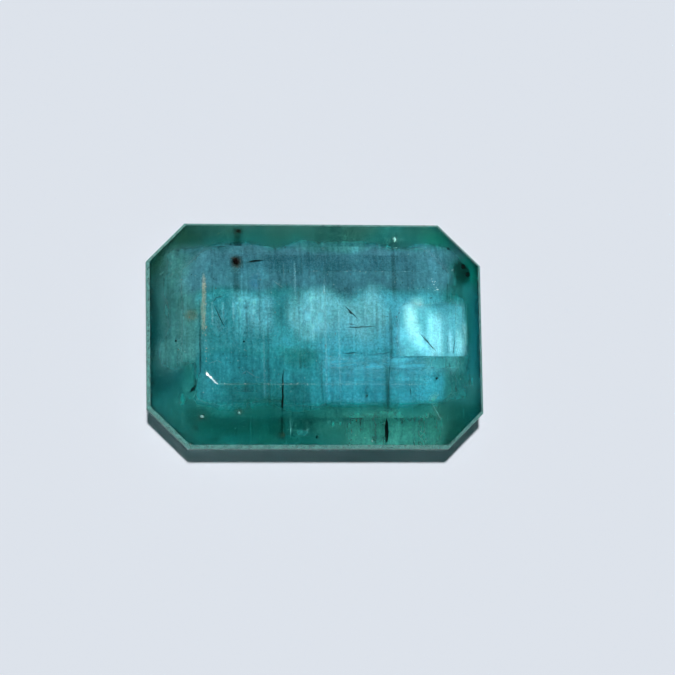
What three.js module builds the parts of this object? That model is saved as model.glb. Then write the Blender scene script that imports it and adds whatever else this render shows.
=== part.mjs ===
// Loose emerald, cut and polished as a step-cut ("emerald cut") rectangle with cut corners.
// Millimetres, +Z up. The stone stands table up on its small flat culet, which lies at z = 0,
// and the origin is the middle of the footprint. The long way of the stone runs along X.
//
// It is one crystal, so it is one closed convex solid. The solid is a stack of horizontal
// outlines, each an octagon, joined by rings of eight flat facets. From the ground up they are
// the culet, three pavilion steps, the girdle, a narrow bevel, the crown step and the table.

import * as THREE from 'three';

// ---- Driving dimensions (mm, degrees) --------------------------------------------------

const LENGTH = 14.07; // girdle, end to end
const WIDTH = 9.54; // girdle, side to side
const END_SKEW = -0.5; // both ends are ground this much out of square, clockwise if negative

// Length that each cut corner takes off the two edges it joins, at the girdle.
const CORNER_CUTS = { backRight: 1.72, backLeft: 1.65, frontLeft: 1.65, frontRight: 1.52 };

const GIRDLE_HEIGHT = 0.3;
const BEVEL = { rise: 0.22, inset: 0.12 }; // narrow facet between the girdle and the crown
const CROWN = { rise: 1.2, inset: 2.2 }; // one broad step up to the table
const TABLE_SHORTFALL = 0.12; // the table's front edge and corners stop this much early

// Pavilion outlines, from the girdle down to the culet: how far below the girdle each one
// lies, how far each side has come in from the girdle there, and how long its cut corners
// are. The stone was cut for weight, so the culet is off the middle, to the back and right.
const PAVILION = [
  { depth: 1.2, front: 1.1, back: 0.85, left: 0.7, right: 0.55, corner: 1.5 },
  { depth: 2.1, front: 2.7, back: 1.75, left: 1.6, right: 1.05, corner: 1.35 },
  { depth: 2.5, front: 4.06, back: 3.08, left: 4.3, right: 3.0, corner: 0.1 },
];

const PAVILION_DEPTH = PAVILION.at(-1).depth;

const EMERALD = { color: 0x2f8f8c, roughness: 0.1, metalness: 0 };

// ---- Outlines --------------------------------------------------------------------------

// A facet that is inset by 1 on two neighbours and on the corner between them leaves the
// corner cut shorter by this much.
const CORNER_SHRINK = 2 - Math.SQRT2;

// The octagon at one height, counter-clockwise. Each of its eight straight edges is a line
// at a distance from the middle, and each point is where two neighbouring lines cross.
function outline({ z, front, back, left, right, corners }) {
  const toRight = LENGTH / 2 - right;
  const toLeft = LENGTH / 2 - left;
  const toBack = WIDTH / 2 - back;
  const toFront = WIDTH / 2 - front;
  const toCorner = (end, side, cut) => (end + side - cut) / Math.SQRT2;
  const edges = [
    { angle: END_SKEW, distance: toRight },
    { angle: 45, distance: toCorner(toRight, toBack, corners.backRight) },
    { angle: 90, distance: toBack },
    { angle: 135, distance: toCorner(toLeft, toBack, corners.backLeft) },
    { angle: 180 + END_SKEW, distance: toLeft },
    { angle: 225, distance: toCorner(toLeft, toFront, corners.frontLeft) },
    { angle: 270, distance: toFront },
    { angle: 315, distance: toCorner(toRight, toFront, corners.frontRight) },
  ];
  return edges.map((edge, i) => crossing(edge, edges[(i + 1) % edges.length], z));
}

// Where two lines of the plan, each given by its normal's angle and its distance, cross.
function crossing(first, second, z) {
  const a = THREE.MathUtils.degToRad(first.angle);
  const b = THREE.MathUtils.degToRad(second.angle);
  const turn = Math.sin(b - a);
  const x = (first.distance * Math.sin(b) - second.distance * Math.sin(a)) / turn;
  const y = (second.distance * Math.cos(a) - first.distance * Math.cos(b)) / turn;
  return new THREE.Vector3(x, y, z);
}

// An outline of the crown: every side has come in by the same amount, and the front may be
// short of that, which makes its two corner cuts longer.
function crownOutline(z, inset, shortfall = 0) {
  const corners = {};
  for (const [name, cut] of Object.entries(CORNER_CUTS)) {
    corners[name] = cut - CORNER_SHRINK * inset + (name.startsWith('front') ? shortfall : 0);
  }
  const front = inset + shortfall;
  return outline({ z, front, back: inset, left: inset, right: inset, corners });
}

// An outline of the pavilion: each side comes in by its own amount, the corners are alike.
function pavilionOutline({ depth, corner, ...insets }) {
  const corners = {};
  for (const name of Object.keys(CORNER_CUTS)) {
    corners[name] = corner;
  }
  return outline({ z: PAVILION_DEPTH - depth, ...insets, corners });
}

// Every outline of the stone, from the culet up to the table.
function stepOutlines() {
  const girdleTop = PAVILION_DEPTH + GIRDLE_HEIGHT;
  const bevelTop = girdleTop + BEVEL.rise;
  return [
    ...PAVILION.map(pavilionOutline).reverse(),
    crownOutline(PAVILION_DEPTH, 0),
    crownOutline(girdleTop, 0),
    crownOutline(bevelTop, BEVEL.inset),
    crownOutline(bevelTop + CROWN.rise, BEVEL.inset + CROWN.inset, TABLE_SHORTFALL),
  ];
}

// ---- Solid -----------------------------------------------------------------------------

// Joins a stack of outlines with flat four-sided facets and closes it at both ends.
function facetedSolid(outlines) {
  const sides = outlines[0].length;
  const points = outlines.flat();
  const triangles = [];
  for (let level = 0; level < outlines.length - 1; level += 1) {
    for (let i = 0; i < sides; i += 1) {
      const next = (i + 1) % sides;
      const lower = level * sides;
      const upper = lower + sides;
      triangles.push([lower + i, lower + next, upper + next]);
      triangles.push([lower + i, upper + next, upper + i]);
    }
  }
  const top = points.length - sides;
  for (let i = 1; i < sides - 1; i += 1) {
    triangles.push([0, i + 1, i]);
    triangles.push([top, top + i, top + i + 1]);
  }
  const geometry = new THREE.BufferGeometry().setFromPoints(points);
  geometry.setIndex(triangles.flat());
  geometry.computeVertexNormals();
  return geometry;
}

const emerald = new THREE.Mesh(
  facetedSolid(stepOutlines()),
  new THREE.MeshStandardMaterial({ ...EMERALD, flatShading: true }),
);
emerald.name = 'emerald';

const group = new THREE.Group();
group.add(emerald);

export default group;
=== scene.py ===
"""Finishes a loose step-cut emerald: the polished stone and what nature left inside it.

The stone is one see-through crystal. Its haze, growth lines, cracks and dark crystals are
real shapes inside it, and its scuffs and rust stains are real shapes on its worn edges.
Parts of the haze, the films, the glints and a few dark lines are painted highlights and painted
shade.
Flaws are placed along the camera's line of sight, bent where it enters the stone.
"""

import math
import random

import bmesh
import bpy
from bpy.props import FloatProperty, FloatVectorProperty, IntProperty, PointerProperty
from mathutils import Matrix, Vector, noise


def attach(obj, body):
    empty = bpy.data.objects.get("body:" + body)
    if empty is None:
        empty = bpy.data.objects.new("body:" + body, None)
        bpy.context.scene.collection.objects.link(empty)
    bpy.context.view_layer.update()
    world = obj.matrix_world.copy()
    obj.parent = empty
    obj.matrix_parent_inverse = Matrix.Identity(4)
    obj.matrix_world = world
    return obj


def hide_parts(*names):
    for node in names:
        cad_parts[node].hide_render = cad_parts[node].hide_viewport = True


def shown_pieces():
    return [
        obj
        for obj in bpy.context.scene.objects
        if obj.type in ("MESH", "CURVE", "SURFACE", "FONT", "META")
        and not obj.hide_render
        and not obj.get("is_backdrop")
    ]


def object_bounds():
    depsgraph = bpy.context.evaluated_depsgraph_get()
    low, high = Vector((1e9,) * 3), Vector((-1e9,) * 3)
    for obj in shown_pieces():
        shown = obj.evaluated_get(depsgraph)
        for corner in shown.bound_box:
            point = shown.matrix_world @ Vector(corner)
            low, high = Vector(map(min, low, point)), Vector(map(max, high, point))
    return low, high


bl_info = {
    "name": "Step-Cut Emerald",
    "version": (1, 0, 0),
    "blender": (4, 5, 0),
    "location": "3D View > Sidebar > Emerald",
    "description": "Finishes a faceted emerald with its inner growth, cracks and worn edges",
    "category": "Object",
}

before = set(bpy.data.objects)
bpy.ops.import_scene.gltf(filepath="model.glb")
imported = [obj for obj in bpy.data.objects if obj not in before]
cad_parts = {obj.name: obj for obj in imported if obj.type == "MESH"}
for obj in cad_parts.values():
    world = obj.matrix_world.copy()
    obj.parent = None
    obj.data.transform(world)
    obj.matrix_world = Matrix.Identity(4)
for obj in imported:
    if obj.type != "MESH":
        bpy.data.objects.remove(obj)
CAD_BOX = [list(corner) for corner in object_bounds()]

MM = 0.001
UP = Vector((0, 0, 1))
RIGHT = Vector((1, 0, 0))
BACK = Vector((0, 1, 0))

EMERALD_IOR = 1.58


# ---- Small helpers ----


def linear(hex_colour):
    """An sRGB hex colour as linear RGB."""
    channels = [int(hex_colour[i : i + 2], 16) / 255 for i in (1, 3, 5)]
    return tuple(c / 12.92 if c <= 0.04045 else ((c + 0.055) / 1.055) ** 2.4 for c in channels)


def add_node(tree, kind, inputs=None, **settings):
    """Adds a node, makes its settings, and sets or links its inputs by name or number."""
    node = tree.nodes.new(kind)
    for name, value in settings.items():
        setattr(node, name, value)
    for key, value in (inputs or {}).items():
        if isinstance(value, bpy.types.NodeSocket):
            tree.links.new(value, node.inputs[key])
        else:
            node.inputs[key].default_value = value
    return node


def new_material(name):
    """A material with an empty Principled shader: (material, tree, shader, output)."""
    material = bpy.data.materials.new(name)
    material.use_nodes = True
    tree = material.node_tree
    tree.nodes.clear()
    shader = add_node(tree, "ShaderNodeBsdfPrincipled")
    output = add_node(tree, "ShaderNodeOutputMaterial", {"Surface": shader.outputs["BSDF"]})
    return material, tree, shader, output


def new_object(name, data):
    """An object for a mesh, a lamp or a camera, in the scene."""
    piece = bpy.data.objects.new(name, data)
    bpy.context.scene.collection.objects.link(piece)
    return piece


def settled(name, shape):
    """A mesh from a shape that is still being worked on, which is used up."""
    mesh = bpy.data.meshes.new(name)
    shape.to_mesh(mesh)
    shape.free()
    return mesh


def mesh_from(name, points, faces):
    """A mesh from points in metres and faces that name them by number."""
    mesh = bpy.data.meshes.new(name)
    mesh.from_pydata([tuple(p) for p in points], [], faces)
    mesh.validate()
    return mesh


def belongs_to_stone(piece, material=None):
    """Every piece rides with the stone, and takes the material given, if any."""
    if material:
        piece.data.materials.clear()
        piece.data.materials.append(material)
    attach(piece, "root")
    return piece


def smooth(share):
    """A share held between 0 and 1 that starts and ends evenly."""
    share = min(max(share, 0), 1)
    return share * share * (3 - 2 * share)


# ---- The stone's own geometry ----

SAME_POINT = 0.0005 * MM
SAME_FACET = math.radians(0.2)


def stone_bmesh():
    """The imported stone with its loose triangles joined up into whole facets."""
    mesh = bmesh.new()
    mesh.from_mesh(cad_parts["emerald"].data)
    bmesh.ops.remove_doubles(mesh, verts=mesh.verts[:], dist=SAME_POINT)
    bmesh.ops.dissolve_limit(
        mesh, angle_limit=SAME_FACET, verts=mesh.verts[:], edges=mesh.edges[:]
    )
    return mesh


def stone_facets():
    """(outward normal, distance from the origin) of each facet, and the facet edges' heights."""
    mesh = stone_bmesh()
    facets = [(face.normal.copy(), face.normal.dot(face.verts[0].co)) for face in mesh.faces]
    heights = sorted({round(vert.co.z / MM, 2) for vert in mesh.verts})
    mesh.free()
    return facets, [height * MM for height in heights]


FACETS, HEIGHTS = stone_facets()
GIRDLE_FOOT, GIRDLE_TOP, BEVEL_TOP, TABLE = HEIGHTS[-4:]  # under them, two steps and the culet
GRID_SIDE = 1.02 * (CAD_BOX[1][0] - CAD_BOX[0][0])  # covers the stone whichever way it lies
FAR = 20 * MM  # well outside the stone
SQUARE = ((-1, -1), (1, -1), (1, 1), (-1, 1))


def section(centre, across, along, margin):
    """The stone's outline in a plane, kept that far under its skin."""
    outline = [centre + across * a * FAR + along * b * FAR for a, b in SQUARE]
    for normal, distance in FACETS:
        kept = []
        for i, here in enumerate(outline):
            before = outline[i - 1]
            room = distance - margin - normal.dot(here)
            room_before = distance - margin - normal.dot(before)
            if (room < 0) != (room_before < 0):
                kept.append(before.lerp(here, room_before / (room_before - room)))
            if room >= 0:
                kept.append(here)
        outline = kept
    return outline


# ---- Camera and lines of sight ----

FRAME_SIDE = 28.125 * MM  # what the camera takes in, at the stone
CAMERA_DISTANCE = 180 * MM
LEAN_TO_FRONT = math.radians(12)
LEAN_TO_LEFT = math.radians(8)
ROLL = math.radians(0.22)
STONE_IN_FRAME = (-0.94 * MM, 0.0625 * MM)  # the stone's middle, from the frame's middle


def camera_pose():
    """(eye, camera axes as columns): right, up and back towards the eye."""
    back = Vector((-math.tan(LEAN_TO_LEFT), -math.tan(LEAN_TO_FRONT), 1)).normalized()
    level = (RIGHT - back * back.x).normalized()
    upright = back.cross(level)
    right = level * math.cos(ROLL) + upright * math.sin(ROLL)
    up = upright * math.cos(ROLL) - level * math.sin(ROLL)
    middle = Vector((0, 0, GIRDLE_TOP)) - right * STONE_IN_FRAME[0] - up * STONE_IN_FRAME[1]
    return middle + back * CAMERA_DISTANCE, Matrix((right, up, back)).transposed()


EYE, CAMERA_AXES = camera_pose()


def under(x, y, depth):
    """The point that deep in the stone that the camera sees at x, y of the girdle plane.

    All in millimetres. The line of sight bends by Snell's law at the facet it meets.
    """
    aim = Vector((x * MM, y * MM, GIRDLE_TOP))
    ray = (aim - EYE).normalized()
    facing = [
        ((distance - normal.dot(EYE)) / normal.dot(ray), normal)
        for normal, distance in FACETS
        if normal.dot(ray) < 0
    ]
    travel, normal = max(facing, key=lambda meeting: meeting[0])
    surface = EYE + ray * travel
    ratio = 1 / EMERALD_IOR
    cosine = -normal.dot(ray)
    bend = ratio * cosine - math.sqrt(1 - ratio**2 * (1 - cosine**2))
    bent = ray * ratio + normal * bend
    return surface + bent * (depth * MM / -bent.z)


# ---- Settings ----


class StoneSettings(bpy.types.PropertyGroup):
    """Sizes and finish of the polished stone."""

    edge_wear: FloatProperty(
        name="Edge Wear",
        description="Width of the rounding that handling has left on the facet edges",
        default=0.03 * MM,
        unit="LENGTH",
    )
    crown_roughness: FloatProperty(
        name="Crown Roughness",
        description="Polish of the table and crown",
        default=0.04,
        subtype="FACTOR",
    )
    pavilion_roughness: FloatProperty(
        name="Pavilion Roughness",
        description="Polish of the underside, which is left coarser",
        default=0.16,
        subtype="FACTOR",
    )
    girdle_roughness: FloatProperty(
        name="Girdle Roughness",
        description="Ground, unpolished girdle",
        default=0.5,
        subtype="FACTOR",
    )
    absorption: FloatVectorProperty(
        name="Absorption",
        description="Light lost on each metre of red, green and blue",
        default=(345, 118, 112),
        size=3,
    )


class FlawSettings(bpy.types.PropertyGroup):
    """Amounts and colours of what lies in and on the stone."""

    seed: IntProperty(name="Seed", description="Seed of every scatter", default=7)
    zone_seed: IntProperty(
        name="Zone Seed",
        description="Seed of how the sides of the growth zones wander, never 0",
        default=22,
    )
    tube_density: FloatProperty(
        name="Tube Density",
        description="Growth tubes on each square metre of one layer",
        default=1.2e6,
    )
    tube_length: FloatProperty(
        name="Tube Length",
        description="Longest growth tube",
        default=1.6 * MM,
        unit="LENGTH",
    )
    tube_radius: FloatProperty(
        name="Tube Radius",
        description="Growth tube radius, drawn a little coarser than real so that it shows",
        default=0.004 * MM,
        unit="LENGTH",
    )


class StageSettings(bpy.types.PropertyGroup):
    """Paper and lights."""

    paper: FloatVectorProperty(
        name="Paper",
        description="Plain pale paper",
        default=linear("#ECEFF8"),
        subtype="COLOR",
    )
    key_strength: FloatProperty(
        name="Key Strength",
        description="Sunlight on the paper, in watts on each square metre",
        default=2.7,
    )
    inner_gain: FloatProperty(
        name="Inner Gain",
        description="How much stronger the stone's own lamp is than the sunlight",
        default=3.9,
    )


# ---- Materials ----

WHITE = (1, 1, 1, 1)
NOISE_SPAN = (0.3, 0.7)  # noise seldom leaves this span

# Dust and rubbed-in scratches dim the polish in grains: size in millimetres, and the tint
# where a grain is densest.
POLISH_GRAIN = ((0.075, "#CCD2D0"), (0.16, "#DCE0E4"), (0.5, "#E4ECE8"))
POLISH_SPAN = (0.4, 0.6)  # noise from which a grain begins and at which it ends

# Polishing leaves facets that are flat only to a few micrometres over about a millimetre.
WAVE_SIZE = 10 / 9
WAVE_HEIGHT = 0.004 * MM

# Heights over which one polish goes over into the next.
FOOT_BLEND = (GIRDLE_FOOT - 0.02 * MM, GIRDLE_FOOT + 0.02 * MM)
TOP_BLEND = (GIRDLE_TOP - 0.01 * MM, GIRDLE_TOP + 0.03 * MM)

GIRDLE_PITS = 0.12
GIRDLE_TINTS = ("#285954", "#4A746F")
GIRDLE_COVERS = (0.5, 0.95)


def polished_beryl(settings):
    """Emerald is beryl coloured by chromium: clear, and deep bluish green in thick places.

    The crown has a jeweller's polish, the underside a coarser one that blurs what is seen
    through it, and the girdle is left ground, which looks frosted.
    """
    material, tree, shader, output = new_material("polished_emerald_beryl")
    shader.inputs["Transmission Weight"].default_value = 1
    shader.inputs["IOR"].default_value = EMERALD_IOR

    place = add_node(tree, "ShaderNodeTexCoord").outputs["Object"]
    clearness = WHITE
    for size, dimmest in POLISH_GRAIN:
        fine = {"Vector": place, "Scale": 1 / (size * MM), "Detail": 2.0}
        grain = add_node(tree, "ShaderNodeTexNoise", fine).outputs["Fac"]
        span = {"Value": grain, "From Min": POLISH_SPAN[0], "From Max": POLISH_SPAN[1]}
        share = add_node(tree, "ShaderNodeMapRange", span).outputs["Result"]
        tints = {"Factor": share, 6: (*linear(dimmest), 1), 7: WHITE}
        layer = add_node(tree, "ShaderNodeMix", tints, data_type="RGBA").outputs[2]
        pair = {"Factor": 1.0, 6: clearness, 7: layer}
        product = add_node(tree, "ShaderNodeMix", pair, data_type="RGBA", blend_type="MULTIPLY")
        clearness = product.outputs[2]
    tree.links.new(clearness, shader.inputs["Base Color"])

    height = add_node(tree, "ShaderNodeSeparateXYZ", {0: place}).outputs["Z"]
    roughness = settings.pavilion_roughness
    for (start, end), higher in (
        (FOOT_BLEND, settings.girdle_roughness),
        (TOP_BLEND, settings.crown_roughness),
    ):
        blend = {"Value": height, "From Min": start, "From Max": end}
        blend |= {"To Min": roughness, "To Max": higher}
        roughness = add_node(tree, "ShaderNodeMapRange", blend).outputs["Result"]
    tree.links.new(roughness, shader.inputs["Roughness"])

    broad = {"Vector": place, "Scale": 1 / (WAVE_SIZE * MM), "Detail": 1.0}
    waves = add_node(tree, "ShaderNodeTexNoise", broad).outputs["Fac"]
    swell = {"Height": waves, "Distance": WAVE_HEIGHT, "Strength": 0.6}
    bump = add_node(tree, "ShaderNodeBump", swell)
    tree.links.new(bump.outputs["Normal"], shader.inputs["Normal"])

    density = 1.2 * max(settings.absorption)
    colour = [1 - loss / density for loss in settings.absorption]
    body = add_node(tree, "ShaderNodeVolumeAbsorption", {"Color": (*colour, 1), "Density": density})
    tree.links.new(body.outputs["Volume"], output.inputs["Volume"])
    return material


def ground_surface():
    """The girdle and the bevel over it are ground and not polished: pale, fine and frosted."""
    material, tree, shader, _ = new_material("ground_emerald_girdle")
    shader.inputs["Roughness"].default_value = 0.55
    place = add_node(tree, "ShaderNodeTexCoord").outputs["Object"]
    fine = {"Vector": place, "Scale": 1 / (GIRDLE_PITS * MM), "Detail": 3.0}
    pits = add_node(tree, "ShaderNodeTexNoise", fine).outputs["Fac"]
    darker, lighter = ((*linear(tint), 1) for tint in GIRDLE_TINTS)
    tints = {"Factor": pits, 6: darker, 7: lighter}
    colour = add_node(tree, "ShaderNodeMix", tints, data_type="RGBA")
    tree.links.new(colour.outputs[2], shader.inputs["Base Color"])
    covers = {"Value": pits, "From Min": NOISE_SPAN[0], "From Max": NOISE_SPAN[1]}
    covers |= {"To Min": GIRDLE_COVERS[0], "To Max": GIRDLE_COVERS[1]}
    cover = add_node(tree, "ShaderNodeMapRange", covers)
    tree.links.new(cover.outputs["Result"], shader.inputs["Alpha"])
    return material


def veil(name, patterns):
    """A thin layer of inclusions too small to see one by one, or a sheet whose tint is painted
    light or shade.

    A pattern is its size in millimetres along X, Y and Z, and the share by which its colour
    grows lighter and darker. The crystal's own axis is along Y, so what follows its growth
    is long that way.
    """
    material, tree, shader, _ = new_material(name)
    shader.inputs["Roughness"].default_value = 0.9
    shader.inputs["Specular IOR Level"].default_value = 0.0
    place = add_node(tree, "ShaderNodeTexCoord").outputs["Object"]
    tint = add_node(tree, "ShaderNodeAttribute", attribute_name="tint").outputs["Color"]
    for size, swing in patterns:
        stretch = {"Vector": place, "Scale": [1 / (extent * MM) for extent in size]}
        stretched = add_node(tree, "ShaderNodeMapping", stretch).outputs["Vector"]
        fine = {"Vector": stretched, "Scale": 1.0, "Detail": 3.0}
        pattern = add_node(tree, "ShaderNodeTexNoise", fine).outputs["Fac"]
        span = {"Value": pattern, "From Min": NOISE_SPAN[0], "From Max": NOISE_SPAN[1]}
        span |= {"To Min": 1 - swing, "To Max": 1 + swing}
        amount = add_node(tree, "ShaderNodeMapRange", span).outputs["Result"]
        changed = {0: tint, "Scale": amount}
        tint = add_node(tree, "ShaderNodeVectorMath", changed, operation="SCALE").outputs["Vector"]
    held = add_node(tree, "ShaderNodeVectorMath", {0: tint, 1: (1, 1, 1)}, operation="MINIMUM")
    tree.links.new(held.outputs["Vector"], shader.inputs["Base Color"])
    cover = add_node(tree, "ShaderNodeAttribute", attribute_name="cover")
    tree.links.new(cover.outputs["Fac"], shader.inputs["Alpha"])
    return material


def plain_mineral(name, hex_colour, roughness, spread=0.25, grain=0.15, alpha=1.0):
    """A solid mineral whose colour varies by `spread` over grains of `grain` millimetres."""
    material, tree, shader, _ = new_material(name)
    shader.inputs["Roughness"].default_value = roughness
    shader.inputs["Alpha"].default_value = alpha
    shader.inputs["Specular IOR Level"].default_value = 0.05  # hardly a mirror inside beryl
    place = add_node(tree, "ShaderNodeTexCoord").outputs["Object"]
    fine = {"Vector": place, "Scale": 1 / (grain * MM), "Detail": 2.0}
    grains = add_node(tree, "ShaderNodeTexNoise", fine).outputs["Fac"]
    darker, lighter = (
        (*[min(c * (1 + change), 1) for c in linear(hex_colour)], 1) for change in (-spread, spread)
    )
    tints = {"Factor": grains, 6: darker, 7: lighter}
    colour = add_node(tree, "ShaderNodeMix", tints, data_type="RGBA")
    tree.links.new(colour.outputs[2], shader.inputs["Base Color"])
    return material


# ---- Builders of inner shapes ----


def paint(mesh, covers, tints):
    """Stores how much a sheet hides at each of its points, and its colour there."""
    attribute = mesh.attributes.new("cover", "FLOAT", "POINT")
    attribute.data.foreach_set("value", covers)
    attribute = mesh.attributes.new("tint", "FLOAT_COLOR", "POINT")
    attribute.data.foreach_set("color", [c for tint in tints for c in (*tint, 1)])


LEVEL = 0.999  # cosine beyond which two planes count as parallel


def trimmed_grid(centre, across, along, margin, step):
    """A grid in a plane through the stone, cut off that far under its skin."""
    grid = bmesh.new()
    parts = round(GRID_SIDE / step)
    bmesh.ops.create_grid(grid, x_segments=parts, y_segments=parts, size=GRID_SIDE / 2)
    facing = across.cross(along)
    grid.transform(Matrix((across, along, facing)).transposed().to_4x4())
    grid.transform(Matrix.Translation(centre))
    for normal, distance in FACETS:
        if abs(normal.dot(facing)) > LEVEL:
            continue
        bmesh.ops.bisect_plane(
            grid,
            geom=grid.verts[:] + grid.edges[:] + grid.faces[:],
            plane_co=normal * (distance - margin),
            plane_no=normal,
            clear_outer=True,
        )
    return grid


def seen_grid(x, y, half_x, half_y, depth, step):
    """A grid over what is seen at x, y, with its depth in the stone as Z, all in millimetres."""
    grid = bmesh.new()
    parts_x, parts_y = (max(1, round(2 * half / step)) for half in (half_x, half_y))
    bmesh.ops.create_grid(grid, x_segments=parts_x, y_segments=parts_y, size=1)
    grid.transform(Matrix.Diagonal((half_x, half_y, 1, 1)))
    grid.transform(Matrix.Translation((x, y, depth)))
    return grid


def soft_box(x, y, spans):
    """How far a point lies inside a box with soft sides, from 0 to 1."""
    (x0, x1, soft_x), (y0, y1, soft_y) = spans
    share = 1.0
    for value, low, high, soft in ((x, x0, x1, soft_x), (y, y0, y1, soft_y)):
        share *= smooth((value - low) / soft + 0.5) * smooth((high - value) / soft + 0.5)
    return share


SEEN_MARGIN = 0.02 * MM  # nothing that is drawn under the facets comes closer to them


def sheet_mesh(name, sheets, seen):
    """One mesh from (grid, finish) sheets, less what comes too near the facets.

    A seen grid is laid in the stone where the camera sees it, and any other is there already.
    A finish gives the cover and tint at a place on the grid, in millimetres.
    """
    points, faces, looks = [], [], []
    for grid, finish in sheets:
        numbers = {}
        for vert in grid.verts:
            point = under(*vert.co) if seen else vert.co.copy()
            if all(distance - normal.dot(point) > SEEN_MARGIN for normal, distance in FACETS):
                numbers[vert] = len(points)
                points.append(point)
                looks.append(finish(vert.co if seen else vert.co / MM))
        for face in grid.faces:
            if all(vert in numbers for vert in face.verts):
                faces.append([numbers[vert] for vert in face.verts])
        grid.free()
    mesh = mesh_from(name, points, faces)
    paint(mesh, *zip(*looks))
    return mesh


def lay(name, sheets, material, seen=True):
    """A piece of the stone made of (grid, finish) sheets."""
    return belongs_to_stone(new_object(name, sheet_mesh(name, sheets, seen)), material)


BLADE_TIP = 0.08  # the ends of a blade, as a share of its middle
CRYSTAL_RINGS = ((0.18, 0.8), (0.5, 1.0), (0.82, 0.75))  # share of the length and the radius
CRYSTAL_SIDES = 6


def ring_faces(first, sides):
    """Faces between a ring of points, from that number on, and the next ring."""
    turns = [(first + k, first + (k + 1) % sides) for k in range(sides)]
    return [(here, after, after + sides, here + sides) for here, after in turns]


def blade(points, width, height):
    """A thin closed blade along a path, widest in the middle and pointed at both ends."""
    ring_points, faces = [], []
    last = len(points) - 1
    for i, point in enumerate(points):
        ahead = points[min(i + 1, last)] - points[max(i - 1, 0)]
        swell = max(max(math.sin(math.pi * i / last), 0) ** 0.5, BLADE_TIP)
        half_width = ahead.cross(UP).normalized() * (width * MM / 2 * swell)
        half_height = UP * (height * MM / 2 * swell)
        ring_points += [point + half_width, point + half_height]
        ring_points += [point - half_width, point - half_height]
    for i in range(last):
        faces += ring_faces(4 * i, 4)
    faces += [(3, 2, 1, 0), tuple(4 * last + k for k in range(4))]
    return ring_points, faces


def wandering(path, step, stray, seed):
    """Adds points to a path and lets them stray a little, as a crack does."""
    rng = random.Random(seed)
    points = []
    for here, after in zip(path, path[1:]):
        parts = max(1, round((after - here).length / step))
        points += [here.lerp(after, k / parts) for k in range(parts)]
    points.append(path[-1])
    for point in points[1:-1]:
        point += Vector([rng.uniform(-1, 1) for _ in range(3)]) * stray
    return points


def crystal(start, end, radius):
    """A small prism with pointed ends, such as a mica or tourmaline crystal."""
    axis = (end - start).normalized()
    side = axis.cross(UP).normalized()
    other = axis.cross(side)
    points = [start]
    for share, swell in CRYSTAL_RINGS:
        for k in range(CRYSTAL_SIDES):
            turn = math.tau * k / CRYSTAL_SIDES
            offset = side * math.cos(turn) + other * math.sin(turn)
            points.append(start.lerp(end, share) + offset * radius * swell * MM)
    points.append(end)
    tip = len(points) - 1
    last_ring = tip - CRYSTAL_SIDES
    around = [(k, (k + 1) % CRYSTAL_SIDES) for k in range(CRYSTAL_SIDES)]
    faces = [(0, 1 + after, 1 + here) for here, after in around]
    for first in range(1, last_ring, CRYSTAL_SIDES):
        faces += ring_faces(first, CRYSTAL_SIDES)
    faces += [(last_ring + here, last_ring + after, tip) for here, after in around]
    return points, faces


def solids(name, shapes, material):
    """A piece of the stone made of (points, faces) shapes, with their faces turned outwards."""
    whole = bmesh.new()
    for points, faces in shapes:
        verts = [whole.verts.new(point) for point in points]
        for face in faces:
            whole.faces.new([verts[i] for i in face])
    bmesh.ops.recalc_face_normals(whole, faces=whole.faces[:])
    return belongs_to_stone(new_object(name, settled(name, whole)), material)


def level_sections(name, heights, margin):
    """One mesh of the stone's outlines at several heights over the culet, in millimetres."""
    layers = bmesh.new()
    for height in heights:
        outline = section(UP * height * MM, RIGHT, BACK, margin)
        layers.faces.new([layers.verts.new(point) for point in outline])
    return settled(name, layers)


# ---- Geometry Nodes ----


def new_tree(name, inputs):
    """A node group that scatters over geometry: (tree, given sockets, its output node)."""
    tree = bpy.data.node_groups.new(name, "GeometryNodeTree")
    shared = {"Geometry": "Geometry", "Density": "Float", "Seed": "Int", "Material": "Material"}
    for label, kind in (shared | inputs).items():
        tree.interface.new_socket(label, in_out="INPUT", socket_type="NodeSocket" + kind)
    tree.interface.new_socket("Geometry", in_out="OUTPUT", socket_type="NodeSocketGeometry")
    return tree, add_node(tree, "NodeGroupInput").outputs, add_node(tree, "NodeGroupOutput")


def scatter(tree, given, made, shape, offset, turn, scale):
    """Ends a tree: copies of a shape are spread, moved, turned, sized and made real."""
    spread = {"Mesh": given["Geometry"], "Density": given["Density"], "Seed": given["Seed"]}
    points = add_node(tree, "GeometryNodeDistributePointsOnFaces", spread).outputs["Points"]
    moved = add_node(tree, "GeometryNodeSetPosition", {"Geometry": points, "Offset": offset})
    rotation = add_node(tree, "FunctionNodeEulerToRotation", {"Euler": turn})
    copied = {
        "Points": moved.outputs["Geometry"],
        "Instance": shape,
        "Rotation": rotation.outputs["Rotation"],
        "Scale": scale,
    }
    copies = add_node(tree, "GeometryNodeInstanceOnPoints", copied).outputs["Instances"]
    real = add_node(tree, "GeometryNodeRealizeInstances", {"Geometry": copies})
    coated = {"Geometry": real.outputs["Geometry"], "Material": given["Material"]}
    finished = add_node(tree, "GeometryNodeSetMaterial", coated)
    tree.links.new(finished.outputs["Geometry"], made.inputs["Geometry"])
    return tree


def grown(name, source, tree, values):
    """Runs a node group on a mesh and keeps the plain result as a piece of the stone."""
    carrier = new_object(name + "_carrier", source)
    modifier = carrier.modifiers.new(name, "NODES")
    modifier.node_group = tree
    for socket in tree.interface.items_tree:
        if socket.name in values:
            modifier[socket.identifier] = values[socket.name]
    bpy.context.view_layer.update()
    evaluated = carrier.evaluated_get(bpy.context.evaluated_depsgraph_get())
    mesh = bpy.data.meshes.new_from_object(evaluated)
    mesh.name = name
    bpy.data.objects.remove(carrier)
    if not mesh.polygons:
        raise RuntimeError(f"{name}: the node group made nothing")
    return belongs_to_stone(new_object(name, mesh))


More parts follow.
